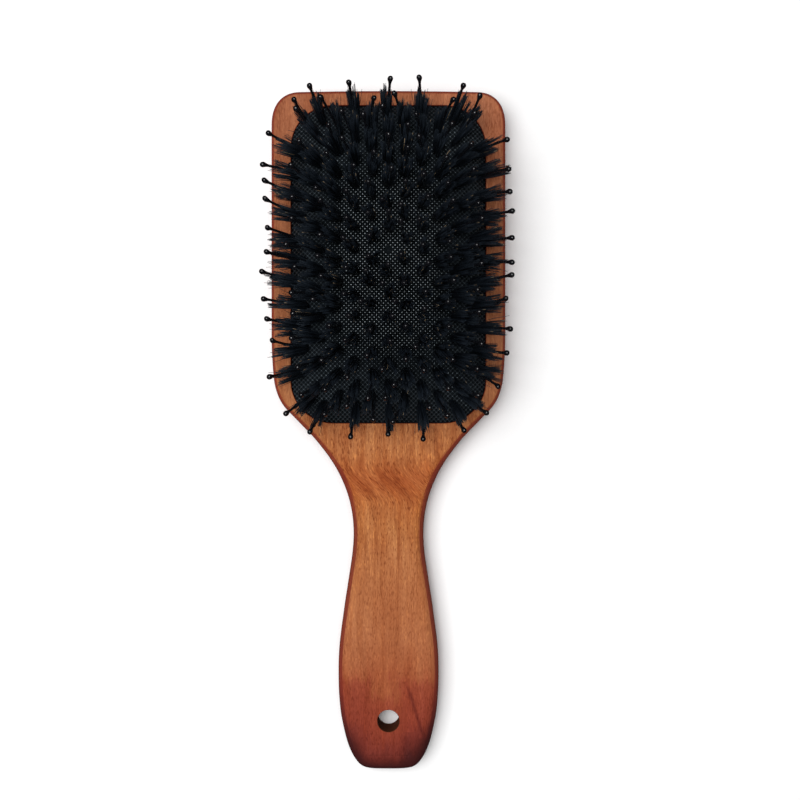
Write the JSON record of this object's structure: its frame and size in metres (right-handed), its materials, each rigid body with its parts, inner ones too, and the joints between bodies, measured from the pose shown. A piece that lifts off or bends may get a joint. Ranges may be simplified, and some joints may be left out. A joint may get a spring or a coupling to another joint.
{
  "type": "paddle hairbrush",
  "caption": "Wooden paddle hairbrush with a hanging hole and a sprung, cloth-covered rubber cushion that carries ball-tipped pins in bristle tufts.",
  "frame": {"origin": "centre of the hanging hole at the paddle's flat back face", "axes": "+Y along the paddle from the hanging hole towards the head, +Z out of the back towards the bristle side, +X across the head"},
  "size_m": [0.088, 0.2475, 0.0464],
  "materials": {
    "stained_wood": "satin varnish over reddish-brown stain",
    "black_rubber": "matt moulded rubber",
    "woven_cover": "open plain weave bonded to the rubber",
    "pin_nylon": "gloss",
    "bristle": "natural bristle with a soft sheen",
    "staple_wire": "bright wire"
  },
  "bodies": {
    "paddle": {"paddle_body": "stained_wood", "rubber_cushion": "black_rubber", "mesh_cover": "woven_cover"},
    "rim_ring": {"pins_rim": "pin_nylon", "tufts_rim": "bristle", "staples_rim": "staple_wire"},
    "outer_ring": {"pins_outer": "pin_nylon", "tufts_outer": "bristle", "staples_outer": "staple_wire"},
    "shoulder_ring": {"pins_shoulder": "pin_nylon", "tufts_shoulder": "bristle", "staples_shoulder": "staple_wire"},
    "inner_ring": {"pins_inner": "pin_nylon", "tufts_inner": "bristle", "staples_inner": "staple_wire"},
    "upper_ring": {"pins_upper": "pin_nylon", "tufts_upper": "bristle", "staples_upper": "staple_wire"},
    "crown_ring": {"pins_crown": "pin_nylon", "tufts_crown": "bristle", "staples_crown": "staple_wire"}
  },
  "joints": [
    {"name": "crown_press", "type": "slide", "parent": "paddle", "child": "crown_ring", "axis": [0, 0, 1], "range_m": [-0.004, 0], "stiffness_N_per_m": 1300, "deforming": ["rubber_cushion", "mesh_cover"]},
    {"name": "upper_press", "type": "slide", "parent": "paddle", "child": "upper_ring", "axis": [0, 0, 1], "range_m": [-0.0038, 0]},
    {"name": "inner_press", "type": "slide", "parent": "paddle", "child": "inner_ring", "axis": [0, 0, 1], "range_m": [-0.0035, 0]},
    {"name": "shoulder_press", "type": "slide", "parent": "paddle", "child": "shoulder_ring", "axis": [0, 0, 1], "range_m": [-0.003, 0]},
    {"name": "outer_press", "type": "slide", "parent": "paddle", "child": "outer_ring", "axis": [0, 0, 1], "range_m": [-0.0023, 0]},
    {"name": "rim_press", "type": "slide", "parent": "paddle", "child": "rim_ring", "axis": [0, 0, 1], "range_m": [-0.0018, 0]}
  ],
  "couplings": [
    {"joint": "upper_press", "follows": "crown_press", "ratio": 0.94},
    {"joint": "inner_press", "follows": "crown_press", "ratio": 0.85},
    {"joint": "shoulder_press", "follows": "crown_press", "ratio": 0.74},
    {"joint": "outer_press", "follows": "crown_press", "ratio": 0.56},
    {"joint": "rim_press", "follows": "crown_press", "ratio": 0.43}
  ]
}
